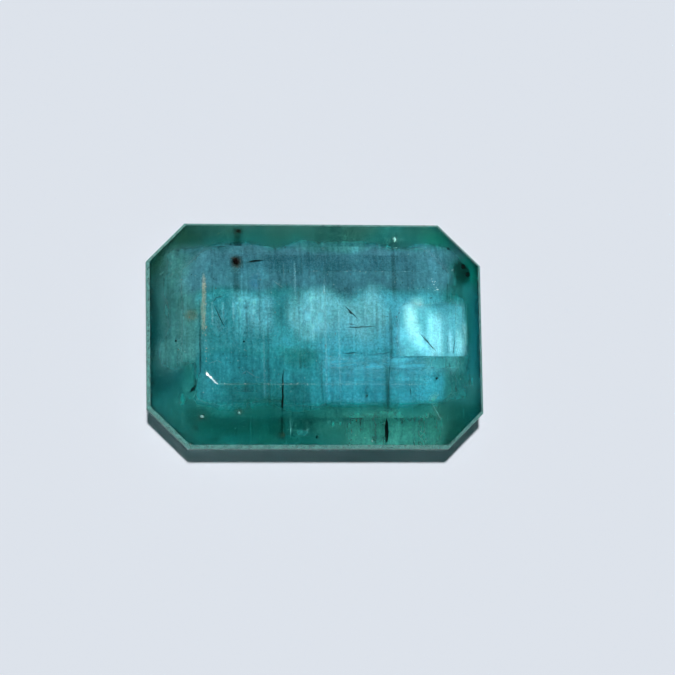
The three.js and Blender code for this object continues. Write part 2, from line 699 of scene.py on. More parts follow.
TUBE_REACH = 1.7  # length of a tube at most, as a share of its distance from the skin
SHORTEST_TUBE = 0.12  # as a share of the longest
TUBE_LEAN = math.radians(2)


def scattered_tubes_tree():
    """Growth tubes: thin hollow needles along the crystal's axis, longest deep in the stone."""
    own = {"Stone": "Object", "Length": "Float", "Radius": "Float", "Spread": "Float"}
    tree, given, made = new_tree("growth_tubes", own)
    lowest = add_node(tree, "ShaderNodeMath", {0: given["Spread"], 1: -1.0}, operation="MULTIPLY")
    span = {2: lowest.outputs["Value"], 3: given["Spread"], "Seed": 1}
    lift = add_node(tree, "FunctionNodeRandomValue", span, data_type="FLOAT")
    offset = add_node(tree, "ShaderNodeCombineXYZ", {"Z": lift.outputs[1]})

    stone = add_node(tree, "GeometryNodeObjectInfo", {"Object": given["Stone"]})
    skin = add_node(tree, "GeometryNodeProximity", {0: stone.outputs["Geometry"]})
    reach = {0: skin.outputs["Distance"], 1: TUBE_REACH}
    room = add_node(tree, "ShaderNodeMath", reach, operation="MULTIPLY")
    least = {0: given["Length"], 1: SHORTEST_TUBE}
    shortest = add_node(tree, "ShaderNodeMath", least, operation="MULTIPLY")
    span = {2: shortest.outputs["Value"], 3: given["Length"], "Seed": 2}
    wanted = add_node(tree, "FunctionNodeRandomValue", span, data_type="FLOAT")
    both = {0: wanted.outputs[1], 1: room.outputs["Value"]}
    length = add_node(tree, "ShaderNodeMath", both, operation="MINIMUM")
    span = {2: 0.5, 3: 1.5, "Seed": 3}
    thickness = add_node(tree, "FunctionNodeRandomValue", span, data_type="FLOAT").outputs[1]
    sizes = {"X": thickness, "Y": thickness, "Z": length.outputs["Value"]}
    scale = add_node(tree, "ShaderNodeCombineXYZ", sizes)

    cone = {"Vertices": 4, "Radius Top": 0.0, "Radius Bottom": given["Radius"], "Depth": 1.0}
    needle = add_node(tree, "GeometryNodeMeshCone", cone).outputs["Mesh"]
    centring = {"Geometry": needle, "Translation": (0, 0, -0.5)}
    centred = add_node(tree, "GeometryNodeTransform", centring).outputs["Geometry"]
    along, lean = math.pi / 2, TUBE_LEAN
    leans = {0: (along - lean, -lean, -lean), 1: (along + lean, lean, lean), "Seed": 4}
    turn = add_node(tree, "FunctionNodeRandomValue", leans, data_type="FLOAT_VECTOR").outputs[0]
    return scatter(
        tree, given, made, centred, offset.outputs["Vector"], turn, scale.outputs["Vector"]
    )


def scattered_flakes_tree():
    """Small flat flakes or grains, spread over a sheet."""
    own = {"Size": "Float", "Stretch": "Vector", "Lift": "Float", "Tilt": "Float"}
    tree, given, made = new_tree("flakes", own)
    cube = {0: (-1, -1, -1), 1: (1, 1, 1), "Seed": 11}
    anywhere = add_node(tree, "FunctionNodeRandomValue", cube, data_type="FLOAT_VECTOR")
    lift = {0: anywhere.outputs[0], "Scale": given["Lift"]}
    offset = add_node(tree, "ShaderNodeVectorMath", lift, operation="SCALE")

    ball = {"Radius": 0.5, "Subdivisions": 1}
    flake = add_node(tree, "GeometryNodeMeshIcoSphere", ball).outputs["Mesh"]
    span = {2: 0.25, 3: 1.0, "Seed": 12}
    share = add_node(tree, "FunctionNodeRandomValue", span, data_type="FLOAT")
    both = {0: share.outputs[1], 1: given["Size"]}
    size = add_node(tree, "ShaderNodeMath", both, operation="MULTIPLY")
    stretched = {0: given["Stretch"], "Scale": size.outputs["Value"]}
    scale = add_node(tree, "ShaderNodeVectorMath", stretched, operation="SCALE")

    lowest = add_node(tree, "ShaderNodeMath", {0: given["Tilt"], 1: -1.0}, operation="MULTIPLY")
    angles = []
    for seed in (13, 14):
        span = {2: lowest.outputs["Value"], 3: given["Tilt"], "Seed": seed}
        angle = add_node(tree, "FunctionNodeRandomValue", span, data_type="FLOAT")
        angles.append(angle.outputs[1])
    tilt, spin = angles
    turn = add_node(tree, "ShaderNodeCombineXYZ", {"X": tilt, "Y": tilt, "Z": spin})
    moves = (node.outputs["Vector"] for node in (offset, turn, scale))
    return scatter(tree, given, made, flake, *moves)


# ---- Stone ----

WORN_ANGLE = math.radians(3)


class EMERALD_OT_stone(bpy.types.Operator):
    """The cut stone, one clear crystal with slightly worn facet edges"""

    bl_idname = "emerald.stone"
    bl_label = "Stone"

    def execute(self, context):
        settings = context.scene.emerald_stone
        stone = new_object("cut_emerald", settled("cut_emerald", stone_bmesh()))
        wear = stone.modifiers.new("worn edges", "BEVEL")
        wear.width = settings.edge_wear
        wear.segments = 2
        wear.limit_method = "ANGLE"
        wear.angle_limit = WORN_ANGLE
        belongs_to_stone(stone, polished_beryl(settings))
        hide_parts("emerald")
        return {"FINISHED"}


# ---- Ground girdle ----

GIRDLE_SKIN = 0.004 * MM
HEIGHT_SLACK = 0.01 * MM


class EMERALD_OT_girdle(bpy.types.Operator):
    """The frosted skin of the girdle, a few micrometres thick"""

    bl_idname = "emerald.girdle"
    bl_label = "Ground Girdle"

    def execute(self, context):
        skin = stone_bmesh()
        for vert in skin.verts:
            vert.co += vert.normal * GIRDLE_SKIN
        others = [
            face
            for face in skin.faces
            if min(vert.co.z for vert in face.verts) < GIRDLE_FOOT - HEIGHT_SLACK
            or max(vert.co.z for vert in face.verts) > BEVEL_TOP + HEIGHT_SLACK
        ]
        bmesh.ops.delete(skin, geom=others, context="FACES")
        girdle = new_object("ground_girdle", settled("ground_girdle", skin))
        belongs_to_stone(girdle, ground_surface())
        return {"FINISHED"}


# ---- Growth haze and painted light ----

# Milky layers lie this far over the culet, in millimetres. Together they hide what a zone
# says, each an equal share of it, except that the layers near the table hide more.
HAZE_HEIGHTS = (3.5, 2.95, 2.62, 2.15, 1.6, 1.05)

# Growth streaks, blotches and grain of the haze.
GROWTH_PATTERNS = (
    ((0.18, 4.5, 0.8), 0.2),
    ((0.9, 1.4, 1.1), 0.2),
    ((0.12, 0.3, 0.12), 0.16),
)
# The haze also wavers from place to place: size in millimetres, and share of the cover.
HAZE_STREAKS = ((0.5, 8, 2), 0.35)
HAZE_PATCHES = ((1.4, 3, 3), 0.2)
PATCH_TINT = 0.3  # share by which a patch is lighter or darker

# The haze everywhere, and then its zones, each laid over the ones before it:
# span along X and softness, span along Y and softness, cover of all layers, tint, strength.
# The zones' tints are partly painted light: the rim and corner zones paint the stone's darker
# edges, and the bright, middle and end zones paint highlights where light comes back out of the
# stone.
BODY_COVER = 0.76
BODY_TINT = "#268480"
HAZE_AND_PAINTED_LIGHT_ZONES = {
    "rim_back": ((-8, 8, 1), (4.1, 6, 1.4), 0.86, "#487D6E", 0.9),
    "rim_front_left": ((-8, 0.3, 1.5), (-6, -3.3, 1.0), 0.88, "#0F6F66", 0.9),
    "rim_front_right": ((0.3, 8, 1.5), (-6, -3.3, 1.0), 0.9, "#449588", 0.9),
    "rim_left": ((-8, -6.0, 1.4), (-3.5, 3.5, 1), 0.9, "#005357", 0.9),
    "rim_right": ((6.35, 8, 0.5), (-6, 6, 1), 0.88, "#1C8794", 0.9),
    "corner_back_left": ((-7.5, -4.4, 1.6), (2.2, 5, 1.6), 0.88, "#315C43", 0.8),
    "corner_back_right": ((5.2, 8, 1.6), (2.0, 5, 1.6), 0.9, "#038E77", 0.8),
    "corner_front_left": ((-8, -4.8, 1.4), (-6, -2.4, 1.6), 0.86, "#2F9A99", 0.5),
    "corner_front_right": ((5.4, 8, 1.4), (-6, -2.4, 1.4), 0.9, "#015751", 0.8),
    "right_front": ((4.9, 6.6, 0.8), (-3.2, -0.9, 0.8), 0.85, "#409494", 0.9),
    "left_middle": ((-6.4, -4.6, 0.8), (-1.6, 3.4, 1.2), 0.86, "#5E9999", 0.8),
    "upper": ((-5.2, 6.0, 1.5), (1.7, 3.6, 0.6), 0.84, "#5A8E9F", 0.9),
    "back_stripe": ((-0.8, 2.0, 0.5), (3.45, 3.95, 0.25), 0.9, "#4D9195", 0.9),
    "middle_left": ((-5, 0.3, 1.0), (-0.9, 1.6, 0.7), 0.7, "#4EACB8", 0.9),
    "middle": ((-0.2, 5.5, 1.0), (-0.9, 1.6, 0.7), 0.6, "#72CFE5", 0.9),
    "front_left": ((-5, 0.08, 0.3), (-2.9, -0.9, 0.5), 0.85, "#3C99A5", 0.95),
    "front_right": ((0.08, 5.2, 0.3), (-2.85, -0.8, 0.25), 0.6, "#53BDD0", 0.9),
    "bright_left": ((-3.4, -2.0, 0.6), (0.1, 1.5, 0.9), 0.7, "#9BEAFB", 0.85),
    "bright_middle": ((-0.8, 2.5, 0.9), (0.0, 1.5, 0.9), 0.75, "#B7F2FA", 0.85),
    "end": ((3.85, 6.15, 0.2), (-0.8, 1.35, 0.6), 0.9, "#80E0EC", 0.95),
    "end_inner_back": ((3.85, 4.3, 0.3), (0.1, 1.35, 0.5), 0.97, "#DAFFFF", 0.95),
    "end_inner_front": ((4.0, 4.6, 0.3), (-0.45, 0.5, 0.5), 0.97, "#C8FFFF", 0.95),
    "end_core": ((4.85, 5.45, 0.3), (-0.75, 1.0, 0.5), 0.98, "#DAFFFF", 0.95),
    "end_rim": ((5.8, 6.15, 0.2), (-0.8, 0.35, 0.5), 0.96, "#C8FFFF", 0.9),
}
FULLEST = 0.97  # cover of all layers where the haze is densest
UPPER_FOOT = BEVEL_TOP / MM - 0.1  # the layers over this height lie near the table
UPPER_COVER = 0.42  # each of them hides at least this share
GLOW_COVER = 0.7  # and where it is bright, at least this share
GLOW_START, GLOW_SPAN = 0.13, 0.08  # mean linear tint at which that begins, and how fast
WANDER = 0.7  # how far noise moves a zone's sides, as a share of their softness
WANDER_SIZE = 1.3
CLEARANCE = 0.3  # a layer thins out this close to the stone's skin, in millimetres
HAZE_MARGIN, HAZE_STEP = 0.06 * MM, 0.12 * MM
PAVILION_FACETS = [facet for facet in FACETS if -LEVEL < facet[0].z < -0.05]
CROWN_ENDS = [facet for facet in FACETS if facet[0].z > 0.05 and abs(facet[0].x) > 0.2]


def thinning(place):
    """How full a layer still is at a place in millimetres, from 0 at the stone's skin to 1.

    Along the long sides of the crown the layers end sharply.
    """
    nearby = CROWN_ENDS if place.z * MM > GIRDLE_FOOT else PAVILION_FACETS
    gap = min(distance / MM - normal.dot(place) for normal, distance in nearby)
    return smooth(gap / CLEARANCE)


def wavering(place, size):
    """Noise from -1 to 1 that changes over sizes in millimetres."""
    return noise.noise(Vector([value / extent for value, extent in zip(place, size)]))


def haze_at(place):
    """(cover of one layer, linear tint) of the haze, with its painted light and shade, at a place
    in millimetres.
    """
    drift = noise.noise_vector(place / WANDER_SIZE) * WANDER
    streak, patch = (wavering(place, size) for size, _ in (HAZE_STREAKS, HAZE_PATCHES))
    cover = BODY_COVER
    tint = Vector(linear(BODY_TINT))
    # Each zone's tint is partly painted light: shade at the rim and corners, highlights at the end
    # and middle.
    for along_x, along_y, zone_cover, zone_tint, strength in HAZE_AND_PAINTED_LIGHT_ZONES.values():
        x = place.x + drift.x * along_x[2]
        y = place.y + drift.y * along_y[2]
        share = strength * soft_box(x, y, (along_x, along_y))
        cover += (zone_cover - cover) * share
        tint = tint.lerp(Vector(linear(zone_tint)), share)
    cover = min(cover * (1 + HAZE_STREAKS[1] * streak + HAZE_PATCHES[1] * patch), FULLEST)
    layer_cover = 1 - (1 - cover) ** (1 / len(HAZE_HEIGHTS))
    if place.z > UPPER_FOOT:
        glow = min(max((sum(tint) / 3 - GLOW_START) / GLOW_SPAN, 0), 1)
        layer_cover = max(layer_cover, UPPER_COVER + (GLOW_COVER - UPPER_COVER) * glow)
    return layer_cover * thinning(place), tint * (1 + PATCH_TINT * patch)


class EMERALD_OT_haze(bpy.types.Operator):
    """Milky growth layers and denser clouds inside the crystal, with painted shade at the rim and
    painted highlights at the end and middle
    """

    bl_idname = "emerald.haze"
    bl_label = "Growth Haze"

    def execute(self, context):
        noise.seed_set(context.scene.emerald_flaws.zone_seed)
        layers = [
            (trimmed_grid(UP * height * MM, RIGHT, BACK, HAZE_MARGIN, HAZE_STEP), haze_at)
            for height in HAZE_HEIGHTS
        ]
        lay("growth_haze", layers, veil("milky_haze_and_painted_light", GROWTH_PATTERNS), seen=False)
        return {"FINISHED"}


# ---- Growth planes ----

# Colour zones that stand across the stone, seen nearly edge on: where along X each stands,
# how much it hides, its tint, and the span along Y that it fills.
GROWTH_PLANES = (
    (-3.1, 0.4, "#0E5550", (1.5, 6)),
    (-0.62, 0.2, "#0A4440", (-1, 4)),
    (-1.97, 0.2, "#0A4440", (-1, 4)),
    (2.7, 0.2, "#0A4440", (-0.5, 1.6)),
    (3.3, 0.18, "#0A4440", (-6, 6)),
    (0.3, 0.16, "#BFE6F2", (-3, 0)),
    (4.3, 0.16, "#BFE6F2", (-1, 2)),
)
PLANE_HEIGHTS = (0.6, 3.6, 1.2)  # span over the culet, and softness
PLANE_END_SOFT = 0.8
PLANE_MARGIN, PLANE_STEP = 0.08 * MM, 0.2 * MM


class EMERALD_OT_growth_planes(bpy.types.Operator):
    """Colour zones that stand across the stone, along the crystal's axis"""

    bl_idname = "emerald.growth_planes"
    bl_label = "Growth Planes"

    def execute(self, context):
        material = bpy.data.materials["milky_haze_and_painted_light"]
        for number, (x, cover, tint, span) in enumerate(GROWTH_PLANES):
            colour = linear(tint)

            def finish(place):
                spans = (PLANE_HEIGHTS, (*span, PLANE_END_SOFT))
                return cover * soft_box(place.z, place.y, spans), colour

            grid = trimmed_grid(RIGHT * x * MM, BACK, UP, PLANE_MARGIN, PLANE_STEP)
            lay(f"growth_plane_{number}", [(grid, finish)], material, seen=False)
        return {"FINISHED"}


# ---- Growth tubes ----

TUBE_HEIGHTS = (0.8, 1.5, 2.2, 2.9, 3.6)
TUBE_MARGIN = 0.25 * MM
TUBE_SPREAD = 0.33 * MM  # how far a tube lies over or under its layer

# Kinds of tube: what fills or lines it, hex colour, share of the density, step of the seed.
TUBES = {
    "pale_growth_tubes": ("fluid_filled_tubes", "#5F9496", 0.35, 0),
    "dark_growth_tubes": ("dark_lined_tubes", "#123F3B", 0.6, 5),
}


class EMERALD_OT_growth_tubes(bpy.types.Operator):
    """Fine hollow tubes along the crystal's axis, in several layers"""

    bl_idname = "emerald.growth_tubes"
    bl_label = "Growth Tubes"

    def execute(self, context):
        settings = context.scene.emerald_flaws
        source = level_sections("tube_layers", TUBE_HEIGHTS, TUBE_MARGIN)
        tree = scattered_tubes_tree()
        for name, (mineral, colour, share, step) in TUBES.items():
            values = {
                "Stone": bpy.data.objects["cut_emerald"],
                "Density": settings.tube_density * share,
                "Length": settings.tube_length,
                "Radius": settings.tube_radius,
                "Spread": TUBE_SPREAD,
                "Seed": settings.seed + step,
                "Material": plain_mineral(mineral, colour, 0.5),
            }
            grown(name, source, tree, values)
        return {"FINISHED"}


# ---- Cracks, dark lines and crystals ----

# Each path is where the crack is seen, in millimetres on the girdle plane, and then its
# depth under the surface, its width and its height.
DARK_CRACKS = {
    "long_line_front_end": (((2.92, -3.5), (2.91, -4.05), (2.89, -4.6)), 0.14, 0.16, 0.2),
    "long_line": (((3.22, -0.6), (3.08, -1.63), (2.91, -3.76)), 0.4, 0.03, 0.04),
    "front_line": (((-1.37, -1.41), (-1.4, -2.2), (-1.43, -2.94), (-1.5, -4.37)), 0.2, 0.08, 0.12),
    # The two table-edge rows are painted shade along the table's left edge and its front corner,
    # not cracks.
    "table_edge_painted_shade": (((-4.82, 0.2), (-4.83, -1.53), (-5.05, -2.12)), 0.15, 0.02, 0.1),
    "table_corner_painted_shade": (((-5.01, -2.05), (-5.13, -2.25), (-5.28, -2.42)), 0.06, 0.16, 0.1),
    "speck_line": (((-2.8, 3.13), (-2.46, 3.19), (-2.08, 3.22)), 0.1, 0.1, 0.08),
    "needle_lower": (((1.36, 0.36), (2.12, 0.4), (2.54, 0.43)), 0.12, 0.05, 0.1),
    "needle_upper": (((1.38, 0.53), (1.69, 0.5)), 0.12, 0.05, 0.1),
    "end_crack_long": (((4.39, 0.17), (4.76, -0.26), (5.13, -0.68)), 0.07, 0.024, 0.05),
    "end_crack_short": (((4.54, 0.1), (4.96, -0.5), (4.99, -0.72)), 0.08, 0.018, 0.05),
    "end_crack_right": (((5.92, 0.0), (5.87, -0.4), (5.8, -0.76)), 0.06, 0.022, 0.04),
    "end_crack_middle": (((5.62, 0.1), (5.56, -0.3), (5.6, -0.72)), 0.07, 0.016, 0.04),
    "front_wisp_left": (((1.16, -0.75), (1.49, -0.72), (1.79, -0.69)), 0.14, 0.04, 0.03),
    "front_wisp_right": (((2.39, -0.78), (2.84, -0.74), (3.19, -0.66)), 0.14, 0.03, 0.03),
    "left_hairline": (((-4.25, 1.41), (-4.01, 0.85), (-3.76, 0.35)), 0.12, 0.04, 0.2),
    "left_hairline_back": (((-4.31, 1.4), (-4.11, 1.6), (-3.76, 1.72)), 0.12, 0.03, 0.2),
    "corner_scratch": (((-5.15, -3.8), (-5.03, -3.92), (-4.91, -4.06)), 0.05, 0.06, 0.05),
    "front_tick": (((3.94, -2.1), (3.97, -2.35), (3.96, -2.6)), 0.3, 0.04, 0.1),
    "front_dash": (((2.04, -2.62), (2.14, -2.52), (2.21, -2.48)), 0.3, 0.08, 0.1),
}

CRACK_STRAY = (0.18 * MM, 0.012 * MM)  # step along a crack, and how far it strays

# From, to, depth and radius.
BLACK_CRYSTALS = {
    "slanted": ((1.29, 1.29), (1.83, 0.74), 0.14, 0.024),
    "slanted_middle": ((1.47, 1.08), (1.61, 0.94), 0.13, 0.05),
    "speck": ((-3.28, 3.32), (-3.22, 3.02), 0.08, 0.13),
    "speck_back": ((-3.22, 4.46), (-3.02, 4.5), 0.06, 0.08),
    "dot_left": ((-5.86, -0.2), (-5.78, -0.26), 0.4, 0.05),
    "dot_middle": ((-3.0, -0.2), (-2.96, -0.28), 0.15, 0.04),
    "dot_front": ((-0.04, -4.35), (0.02, -4.2), 0.2, 0.07),
    "dot_right": ((5.06, -1.75), (5.12, -1.82), 0.3, 0.06),
    "corner_large": ((6.26, 3.05), (6.44, 2.95), 0.3, 0.13),
    "corner_small": ((6.44, 2.72), (6.62, 2.6), 0.3, 0.11),
    "corner_back": ((5.69, 3.8), (5.79, 3.75), 0.3, 0.07),
}


class EMERALD_OT_cracks(bpy.types.Operator):
    """Dark healed cracks and lines, as thin blades, two of them painted shade along the table's
    edge
    """

    bl_idname = "emerald.cracks"
    bl_label = "Dark Cracks"

    def execute(self, context):
        shapes = []
        for seed, (path, depth, width, height) in enumerate(DARK_CRACKS.values()):
            seen = [under(x, y, depth) for x, y in path]
            shapes.append(blade(wandering(seen, *CRACK_STRAY, seed), width, height))
        material = plain_mineral("iron_lined_cracks", "#031410", 0.6, alpha=0.85)
        solids("dark_cracks", shapes, material)
        return {"FINISHED"}


class EMERALD_OT_crystals(bpy.types.Operator):
    """Black mica and tourmaline crystals sealed in the stone"""

    bl_idname = "emerald.crystals"
    bl_label = "Black Crystals"

    def execute(self, context):
        shapes = [
            crystal(under(*start, depth), under(*end, depth), radius)
            for start, end, depth, radius in BLACK_CRYSTALS.values()
        ]
        solids("black_crystals", shapes, plain_mineral("black_biotite_mica", "#040202", 0.5))
        return {"FINISHED"}


# ---- Pale wisps ----

# Bundles of pale streaks: span along X and Y, depth, how many, shortest and longest length,
# direction in the plane and how far it strays, and width.
WISPS = {
    "front_centre": ((0.4, 4.7), (-1.5, -0.75), 0.5, 10, (0.2, 1.0), 0, 14, 0.016),
    "left_corner": ((-6.4, -5.9), (2.5, 3.2), 0.4, 6, (0.15, 0.4), 42, 12, 0.014),
}

WISP_STRAY = (0.1 * MM, 0.008 * MM)
MARK_STRAY = (0.06 * MM, 0.006 * MM)

# Single pale scratches and specks: from, to, depth and width.
PALE_MARKS = {
    "scratch_left": ((-1.72, 2.37), (-1.32, 2.07), 0.02, 0.014),
    "scratch_left_short": ((-1.56, 2.2), (-1.36, 2.26), 0.02, 0.01),
    "scratch_upright": ((-1.26, 3.15), (-1.24, 2.42), 0.3, 0.012),
    "speck_middle": ((0.41, 2.05), (0.43, 1.78), 0.1, 0.04),
    "speck_front_right": ((2.27, -4.4), (2.32, -4.5), 0.1, 0.06),
    "mark_front": ((-1.11, -3.85), (-1.11, -4.25), 0.2, 0.014),
    "facet_diagonal": ((4.86, -2.85), (5.24, -3.6), 0.1, 0.02),
    "front_edge_left": ((-4.1, -2.06), (-2.6, -2.06), 0.01, 0.006),
    "front_edge": ((-2.3, -2.06), (-0.4, -2.06), 0.01, 0.005),
    "front_edge_right": ((-0.2, -2.05), (1.9, -2.06), 0.01, 0.005),
    "speck_front_left": ((-4.86, -3.4), (-4.7, -3.42), 0.03, 0.12),
    "speck_front": ((-3.28, -3.2), (-3.2, -3.32), 0.03, 0.08),
    "tip_right": ((5.94, 2.9), (5.84, 2.8), 0.1, 0.06),
    "arc_left": ((-4.51, -1.2), (-4.11, -1.05), 0.02, 0.008),
    "arc_right": ((-4.11, -1.05), (-3.91, -1.15), 0.02, 0.008),
    "zigzag_one": ((-3.11, -1.65), (-2.91, -1.48), 0.02, 0.01),
    "zigzag_two": ((-2.91, -1.48), (-2.56, -1.72), 0.02, 0.01),
    "zigzag_three": ((-2.56, -1.72), (-2.36, -1.78), 0.02, 0.01),
}


class EMERALD_OT_wisps(bpy.types.Operator):
    """Pale healed cracks: short bright streaks, mostly along the crystal's axis"""

    bl_idname = "emerald.wisps"
    bl_label = "Pale Wisps"

    def execute(self, context):
        rng = random.Random(context.scene.emerald_flaws.seed)
        shapes = []
        for (x0, x1), (y0, y1), depth, count, lengths, heading, stray, width in WISPS.values():
            for _ in range(count):
                x, y = rng.uniform(x0, x1), rng.uniform(y0, y1)
                turn = math.radians(heading + rng.uniform(-stray, stray))
                half = rng.uniform(*lengths) / 2
                step_x, step_y = half * math.cos(turn), half * math.sin(turn)
                down = depth * rng.uniform(0.6, 1.4)
                ends = [under(x + k * step_x, y + k * step_y, down) for k in (-1, 1)]
                course = wandering(ends, *WISP_STRAY, rng.random())
                shapes.append(blade(course, width * rng.uniform(0.4, 1.0), width * 0.5))
        for start, end, depth, width in PALE_MARKS.values():
            ends = [under(*start, depth), under(*end, depth)]
            course = wandering(ends, *MARK_STRAY, width)
            shapes.append(blade(course, width, width * 0.5))
        material = plain_mineral("healed_crack_fluid", "#D4F0F4", 0.6, spread=0.12, alpha=0.3)
        solids("pale_wisps", shapes, material)
        return {"FINISHED"}


# ---- Healed cracks, stains, glints, films of painted light, and growth lines ----

# Healed cracks, whose fluid films look like torn silk: where each is seen along X and along
# Y, with its softness, and then depth, cover, tint and the silk's pattern.
SILK_ACROSS = (((2.0, 0.16, 0.4), 0.45), ((0.8, 0.5, 0.3), 0.4))
SILK_ALONG = (((0.12, 8.0, 0.4), 0.25), ((0.45, 1.2, 0.3), 0.3))
HEALED_CRACKS = {
    "healed_crack_front": ((0.35, 4.9, 0.7), (-1.5, -0.8, 0.5), 0.4, 0.45, "#62B8CC", SILK_ACROSS),
    "healed_crack_front_low": (
        (0.4, 4.8, 0.8), (-2.1, -1.4, 0.6), 0.4, 0.36, "#58B0C4", SILK_ACROSS
    ),
    "healed_crack_middle": ((-0.8, 2.8, 1.4), (-0.2, 1.6, 1.1), 0.4, 0.3, "#68C0D0", SILK_ALONG),
    "healed_crack_left": ((-3.9, -1.8, 1.2), (-0.2, 1.6, 1.1), 0.4, 0.3, "#50A4B2", SILK_ALONG),
}

CRACK_STEP = 0.12
SHEET_GAP = 0.004  # millimetres between one sheet and the next, so that no two coincide

STAIN_PATTERNS = (((0.05, 0.12, 0.05), 0.25), ((0.16, 0.2, 0.16), 0.3))
STAIN_STEP = 0.05

# Stains, and glints that are painted highlights, all round: where each is seen, half size along X
# and Y, depth, cover, tint.
STAINS_AND_GLINTS = {
    "stain_edge": ((-4.66, 0.95), (0.12, 1.0), 0.1, 0.45, "#A89468"),
    "stain_edge_back": ((-4.62, 2.0), (0.1, 0.8), 0.1, 0.45, "#B8A47C"),
    "stain_left": ((-5.16, 0.85), (0.35, 0.3), 0.2, 0.4, "#7C7A50"),
    "halo_crystal": ((-3.24, 3.13), (0.32, 0.36), 0.12, 0.8, "#4A3614"),
    "halo_back": ((-3.13, 4.46), (0.26, 0.14), 0.1, 0.75, "#2A2416"),
    "halo_front_left": ((-4.78, -3.4), (0.3, 0.24), 0.1, 0.5, "#34564A"),
    "halo_front": ((-3.23, -3.25), (0.22, 0.26), 0.1, 0.5, "#34564A"),
    "halo_front_edge": ((-1.5, -4.2), (0.18, 0.2), 0.1, 0.6, "#3A3C2A"),
    "dark_corner": ((6.4, 2.8), (0.6, 0.7), 0.25, 0.8, "#0A302C"),
    "dark_corner_front": ((5.14, -4.0), (0.45, 0.4), 0.5, 0.6, "#0C4A40"),
    "dark_smear_back": ((-3.16, 4.0), (0.2, 0.7), 0.3, 0.65, "#0C3A2E"),
    "dark_smear": ((-3.25, 2.2), (0.22, 0.75), 0.3, 0.5, "#0C443C"),
    "blue_left": ((-6.1, -1.4), (0.7, 1.1), 0.6, 0.4, "#1B7088"),
    "blue_left_front": ((-6.3, -2.4), (0.6, 0.9), 0.6, 0.35, "#1A6A80"),
    "blue_upper": ((-2.51, 2.3), (0.3, 0.4), 0.5, 0.35, "#3A80A8"),
    "blue_front": ((-3.01, -2.5), (0.4, 0.35), 0.5, 0.4, "#3E98B8"),
    "green_centre": ((-0.66, -0.9), (0.9, 0.5), 0.5, 0.35, "#2A9080"),
    # The glint rows are painted highlights, not stains.
    "glint_front": ((-0.61, -4.1), (0.45, 0.2), 0.4, 0.5, "#68D0D0"),
    "glint_front_right": ((2.34, -4.4), (0.3, 0.18), 0.2, 0.6, "#6CC8B8"),
    "glint_back": ((3.54, 4.3), (0.6, 0.35), 0.3, 0.2, "#90D8C4"),
    "pale_corner": ((4.98, -2.79), (0.3, 0.45), 0.3, 0.5, "#70D0C4"),
}

# Sheets that paint highlights and shade where light comes back out of the stone or does not;
# only the long line's sheet is a real dark film. The span along X and Y where each is seen, its
# depth, and its films, each laid over the ones before it: place, half size, softness in half
# sizes, cover and tint. A sheet stops sharply at the end of its span.
FILM_PATTERNS = (((0.14, 2.4, 0.4), 0.12), ((0.35, 1.0, 0.3), 0.1))
FILM_STEP = 0.04
PAINTED_LIGHT_AND_FILM_SHEETS = {
    "end_films": (
        (3.3, 6.5),
        (-0.845, 1.75),
        0.13,
        (
            ((3.7, 0.1), (0.4, 1.0), 0.9, 0.5, "#74CEE2"),
            ((4.95, 0.1), (1.6, 1.5), 0.35, 0.72, "#74CEDE"),
            ((4.05, 1.0), (0.38, 0.55), 0.9, 0.8, "#B0F4FA"),
            ((4.07, 0.6), (0.4, 0.6), 0.9, 0.85, "#B8F8FC"),
            ((4.2, 0.15), (0.4, 0.55), 0.9, 0.85, "#B0F4FA"),
            ((4.44, -0.2), (0.4, 0.5), 0.9, 0.7, "#9CE8F8"),
            ((4.68, -0.52), (0.38, 0.4), 0.9, 0.6, "#8CDCF0"),
            ((5.06, 0.4), (0.4, 0.85), 0.7, 0.9, "#A0ECF8"),
            ((5.12, -0.35), (0.4, 0.75), 0.7, 0.9, "#A0ECF8"),
            ((5.72, -0.25), (0.14, 0.7), 0.9, 0.75, "#A8F2FF"),
            ((6.12, -0.3), (0.32, 0.75), 0.9, 0.65, "#A0ECF6"),
            ((4.66, 1.0), (0.18, 0.6), 0.9, 0.35, "#549CA8"),
            ((5.5, 1.25), (1.1, 0.5), 0.9, 0.5, "#3E94A0"),
        ),
    ),
    "end_ledge": (
        (4.3, 6.4), (-1.9, -0.85), 0.1, (((5.35, -0.9), (1.1, 0.9), 0.6, 0.5, "#5CB8BC"),)
    ),
    "back_ledge": (
        (-4.2, 5.0), (2.6, 3.47), 0.26, (((0.4, 3.3), (4.5, 0.6), 0.5, 0.15, "#1E6478"),)
    ),
    "front_sill": (
        (0.28, 4.8), (-2.84, -1.9), 0.28, (((2.4, -2.6), (2.4, 0.8), 0.3, 0.3, "#3C96A8"),)
    ),
    "front_sill_left": (
        (-4.6, 0.28), (-2.84, -1.9), 0.29, (((-2.2, -2.45), (2.4, 0.6), 0.5, 0.3, "#1C6458"),)
    ),
    "middle_films": (
        (-1.2, 3.2),
        (-0.6, 1.9),
        0.34,
        (
            ((-0.3, 0.85), (0.4, 0.6), 0.9, 0.45, "#98E4F4"),
            ((0.25, 0.8), (0.36, 0.7), 0.9, 0.4, "#A0EAF8"),
            ((1.7, 0.5), (0.7, 0.7), 0.9, 0.18, "#98E4F4"),
            ((0.95, 0.7), (0.5, 0.8), 0.9, 0.16, "#2E8090"),
        ),
    ),
    "left_films": (
        (-4.6, -1.8),
        (-0.4, 1.9),
        0.34,
        (
            ((-2.5, 0.75), (0.5, 0.65), 0.9, 0.4, "#80D4E4"),
            ((-4.1, 0.6), (0.36, 0.7), 0.9, 0.18, "#78BCC8"),
        ),
    ),
    "long_line_films": (
        (2.8, 3.6),
        (-3.6, 4.4),
        0.24,
        (
            ((3.36, 2.6), (0.12, 2.6), 0.9, 0.35, "#0C443C"),
            ((3.2, 0.0), (0.12, 1.8), 0.9, 0.5, "#0C443C"),
            ((3.0, -2.4), (0.12, 1.8), 0.9, 0.6, "#0C443C"),
        ),
    ),
}

